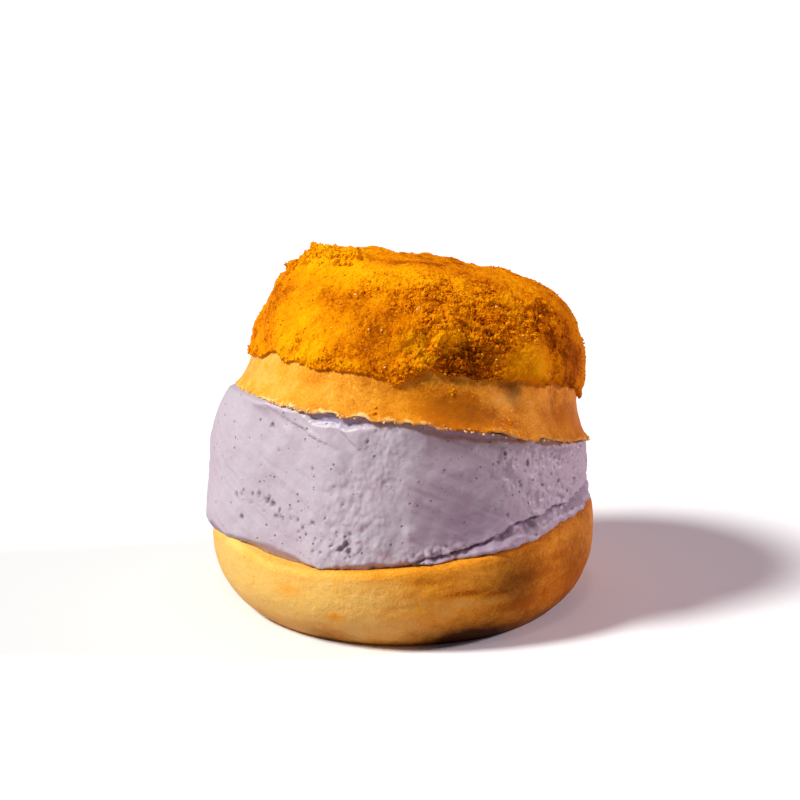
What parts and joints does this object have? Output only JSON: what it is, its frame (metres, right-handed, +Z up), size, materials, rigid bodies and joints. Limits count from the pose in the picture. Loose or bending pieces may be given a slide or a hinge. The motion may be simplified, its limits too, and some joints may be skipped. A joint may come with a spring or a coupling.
{
  "type": "pineapple bun",
  "caption": "Round bun with a crumbled golden cookie crust, split across and filled with a thick wedge of purple cream.",
  "frame": {"origin": "On the surface that the bun rests on, under the middle of its box.", "axes": "+Z up, -Y towards the front, where the crust has its deepest crags; +X towards the side where the upper half leans down."},
  "size_m": [0.0991, 0.0975, 0.0922],
  "materials": {
    "bread": "baked bread skin, golden, soft sheen",
    "cream": "whipped cream, greyed purple, satin",
    "cookie": "baked cookie crumb, deep golden orange, matte"
  },
  "bodies": {
    "root": {"lower_bun": "bread", "cream_filling": "cream", "upper_bun": "bread", "cookie_crust": "cookie"}
  },
  "joints": []
}
